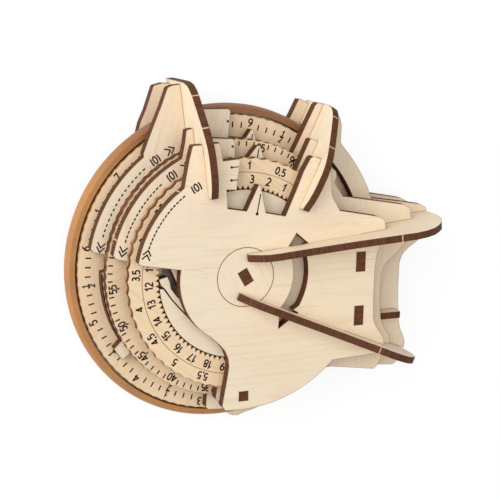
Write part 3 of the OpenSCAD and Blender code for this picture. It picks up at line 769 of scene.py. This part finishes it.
class WHEEL_OT_engrave_plates(bpy.types.Operator):
    """Burn pointers, reset marks and the dashes for the units into the plates"""
    bl_idname = "map_wheel.engrave_plates"
    bl_label = "Engrave plates"

    def execute(self, context):
        look = context.scene.engraving_look
        depth, wide = look.depth / MM, look.stroke / MM
        for node in ("front_plate", "cm_plate", "inch_plate"):
            bm = bmesh.new()
            low, high = face_height(node) - depth, face_height(node) + depth
            for owner, inner, outer, angle in POINTERS:
                if owner == node:
                    line = (flat_polar(inner, angle), flat_polar(outer, angle))
                    stroke(bm, line, wide * POINTER_WIDTH, low, high)
                    if node == "front_plate":
                        self.dot(bm, flat_polar(inner - POINTER_FOOT, angle), wide * FOOT_RADIUS, low, high)
            for owner, point in UNIT_DOTS:
                if owner == node:
                    self.dot(bm, Vector(point), wide * DOT_RADIUS, low, high)
            for owner, start, end in UNIT_DASHES:
                if owner == node:
                    stroke(bm, (start, end), wide * DASH_WIDTH, low, high)
            for owner, radius, first, last, zero, chevrons in RESETS:
                if owner == node:
                    self.reset_arc(bm, radius, first, last, chevrons, wide, low, high)
                    write_round(bm, node, radius - RESET_FIGURES / 2, RESET_FIGURES, ["(0)"], zero, 0)
            engraved(node + "_marks", node, bm)
        # A dark band along the edge of a window in a plate.
        for node, radius, width, first, last in WINDOW_DARK_BANDS:
            bm = bmesh.new()
            high = face_height(node)
            arc = [flat_polar(radius, first + (last - first) * i / DARK_BAND_SIDES)
                   for i in range(DARK_BAND_SIDES + 1)]
            stroke(bm, arc, width, high - depth, high + depth)
            engraved(node + "_window_dark_band", node, bm)
        return {"FINISHED"}

    def dot(self, bm, centre, radius, low, high):
        """A round dot."""
        prism(bm, [centre + flat_polar(radius, 360 * i / DOT_SIDES) for i in range(DOT_SIDES)], low, high)

    def reset_arc(self, bm, radius, first, last, chevrons, wide, low, high):
        """A row of dashes along which a dial turns back, with the double chevrons beside it."""
        half = math.degrees(HALF_DASH / radius)
        for i in range(RESET_DASHES):
            middle = first + (last - first) * i / (RESET_DASHES - 1)
            ends = [flat_polar(radius, middle + side * half) for side in (-1, 1)]
            stroke(bm, ends, wide, low, high)
        for angle, way in chevrons:
            for ahead in (0, CHEVRON_NEXT):
                tip = angle + way * math.degrees((ahead + CHEVRON_TIP) / radius)
                back = tip - way * math.degrees(CHEVRON_BACK / radius)
                corners = ((radius - CHEVRON_ASIDE, back), (radius, tip), (radius + CHEVRON_ASIDE, back))
                stroke(bm, [flat_polar(*corner) for corner in corners], wide, low, high)


class WHEEL_OT_bare_bridges(bpy.types.Operator):
    """Leave the pale stubs of the tabs that held the sheets in their board"""
    bl_idname = "map_wheel.bare_bridges"
    bl_label = "Bare bridges"

    def execute(self, context):
        width, proud = BRIDGE_WIDTH * MM, BRIDGE_PROUD * MM
        for i, (node, point) in enumerate(BRIDGES):
            cad = frame["nodes"][node]
            through = sheet_axes(node)[2]
            levels = [v.co.dot(through) for v in cad.data.vertices]
            middle, thick = (min(levels) + max(levels)) / 2, max(levels) - min(levels)
            near = Vector(point) * MM
            near += through * (middle - near.dot(through))
            place, normal = cad.closest_point_on_mesh(near)[1:3]
            along = normal.cross(through).normalized()
            turn = Matrix((along, through, normal)).transposed().to_4x4()
            bm = bmesh.new()
            bmesh.ops.create_cube(bm, size=1, matrix=Matrix.Translation(place) @ turn
                                  @ Matrix.Diagonal((width, thick * BRIDGE_SHARE, proud * 2, 1)))
            bmesh.ops.bevel(bm, geom=bm.edges[:], offset=proud * 0.4, segments=1, affect="EDGES")
            mesh = bpy.data.meshes.new("bridge_stub")
            bm.to_mesh(mesh)
            bm.free()
            placed(f"bridge_stub_{i + 1}", mesh, body_of(node), shared(bare_bridge))
        return {"FINISHED"}


class WHEEL_OT_finish_tyre(bpy.types.Operator):
    """Give the tyre its rubber"""
    bl_idname = "map_wheel.finish_tyre"
    bl_label = "Finish tyre"

    def execute(self, context):
        tyre = frame["nodes"]["tyre_band"]
        tyre.data.materials.clear()
        tyre.data.materials.append(amber_rubber())
        return {"FINISHED"}


class WHEEL_OT_set_stage(bpy.types.Operator):
    """Lay the floor, light it and set the camera"""
    bl_idname = "map_wheel.set_stage"
    bl_label = "Set stage"

    def execute(self, context):
        scene = context.scene
        look = scene.stage_look
        self.lay_floor(look)
        self.hang_lamps(scene)
        camera = bpy.data.objects.new("camera", bpy.data.cameras.new("camera"))
        camera.data.lens = look.lens
        camera.data.sensor_width = 36.0
        camera.location = look.camera_at
        camera.rotation_euler = look.camera_turn
        camera.data.clip_start = 0.01
        scene.collection.objects.link(camera)
        scene.camera = camera
        scene.view_settings.view_transform = "Standard"
        return {"FINISHED"}

    def lay_floor(self, look):
        """A matt white sheet that shows white to the camera, and still takes a faint shadow."""
        half = look.floor_side / 2
        mesh = bpy.data.meshes.new("floor")
        mesh.from_pydata([(-half, -half, 0), (half, -half, 0), (half, half, 0), (-half, half, 0)], [],
                         [(0, 1, 2, 3)])
        floor = bpy.data.objects.new("floor", mesh)
        bpy.context.scene.collection.objects.link(floor)
        floor.location.z = cad_bounds[0][2] - FLOOR_DROP * MM
        material, tree, shader = new_material("white_paper")
        feed(tree, shader, {"Base Color": look.floor, "Roughness": 0.9})
        glow = add_node(tree, "ShaderNodeEmission", {"Color": look.floor, "Strength": FLOOR_GLOW})
        rays = add_node(tree, "ShaderNodeLightPath").outputs
        seen = add_node(tree, "ShaderNodeMath", {0: rays["Is Camera Ray"], 1: rays["Is Glossy Ray"]},
                        operation="MAXIMUM")
        share = add_node(tree, "ShaderNodeMath", {0: seen, 1: FLOOR_SHARE}, operation="MULTIPLY")
        both = add_node(tree, "ShaderNodeMixShader", {"Fac": share, 1: shader, 2: glow})
        output = next(n for n in tree.nodes if n.type == "OUTPUT_MATERIAL")
        feed(tree, output, {"Surface": both})
        mesh.materials.append(material)

    def hang_lamps(self, scene):
        """A broad soft lamp up on the left, a weaker one over the object, and a pale surround."""
        for name, place, side, power in LAMPS:
            lamp = bpy.data.objects.new(name, bpy.data.lights.new(name, "AREA"))
            lamp.data.size = side
            lamp.data.energy = power
            lamp.location = place
            lamp.rotation_euler = (-Vector(place)).to_track_quat("-Z", "Y").to_euler()
            scene.collection.objects.link(lamp)
        world = bpy.data.worlds.new("pale_surround")
        world.use_nodes = True
        ground = world.node_tree.nodes["Background"]
        feed(world.node_tree, ground, {"Color": grey(1.0), "Strength": SURROUND})
        scene.world = world


class WHEEL_PT_panel(bpy.types.Panel):
    """The steps that finish the wheel"""
    bl_label = "Map Wheel"
    bl_space_type = "VIEW_3D"
    bl_region_type = "UI"
    bl_category = "Map Wheel"

    def draw(self, context):
        for step in STEPS:
            self.layout.operator(step.bl_idname)


STEPS = (WHEEL_OT_finish_plywood, WHEEL_OT_scorch_rims, WHEEL_OT_engrave_divisions, WHEEL_OT_engrave_numbers,
         WHEEL_OT_engrave_plates, WHEEL_OT_bare_bridges, WHEEL_OT_finish_tyre, WHEEL_OT_set_stage)
LOOKS = {"plywood_look": PlywoodLook, "engraving_look": EngravingLook, "tyre_look": TyreLook,
         "stage_look": StageLook}


def register():
    for look in LOOKS.values():
        bpy.utils.register_class(look)
    for name, look in LOOKS.items():
        setattr(bpy.types.Scene, name, PointerProperty(type=look))
    for step in STEPS:
        bpy.utils.register_class(step)
    bpy.utils.register_class(WHEEL_PT_panel)


def unregister():
    bpy.utils.unregister_class(WHEEL_PT_panel)
    for step in reversed(STEPS):
        bpy.utils.unregister_class(step)
    for name, look in LOOKS.items():
        delattr(bpy.types.Scene, name)
        bpy.utils.unregister_class(look)


def main():
    """Runs every step in order."""
    register()
    bpy.ops.map_wheel.finish_plywood()
    bpy.ops.map_wheel.scorch_rims()
    bpy.ops.map_wheel.engrave_divisions()
    bpy.ops.map_wheel.engrave_numbers()
    bpy.ops.map_wheel.engrave_plates()
    bpy.ops.map_wheel.bare_bridges()
    bpy.ops.map_wheel.finish_tyre()
    bpy.ops.map_wheel.set_stage()


if __name__ == "__main__":
    main()
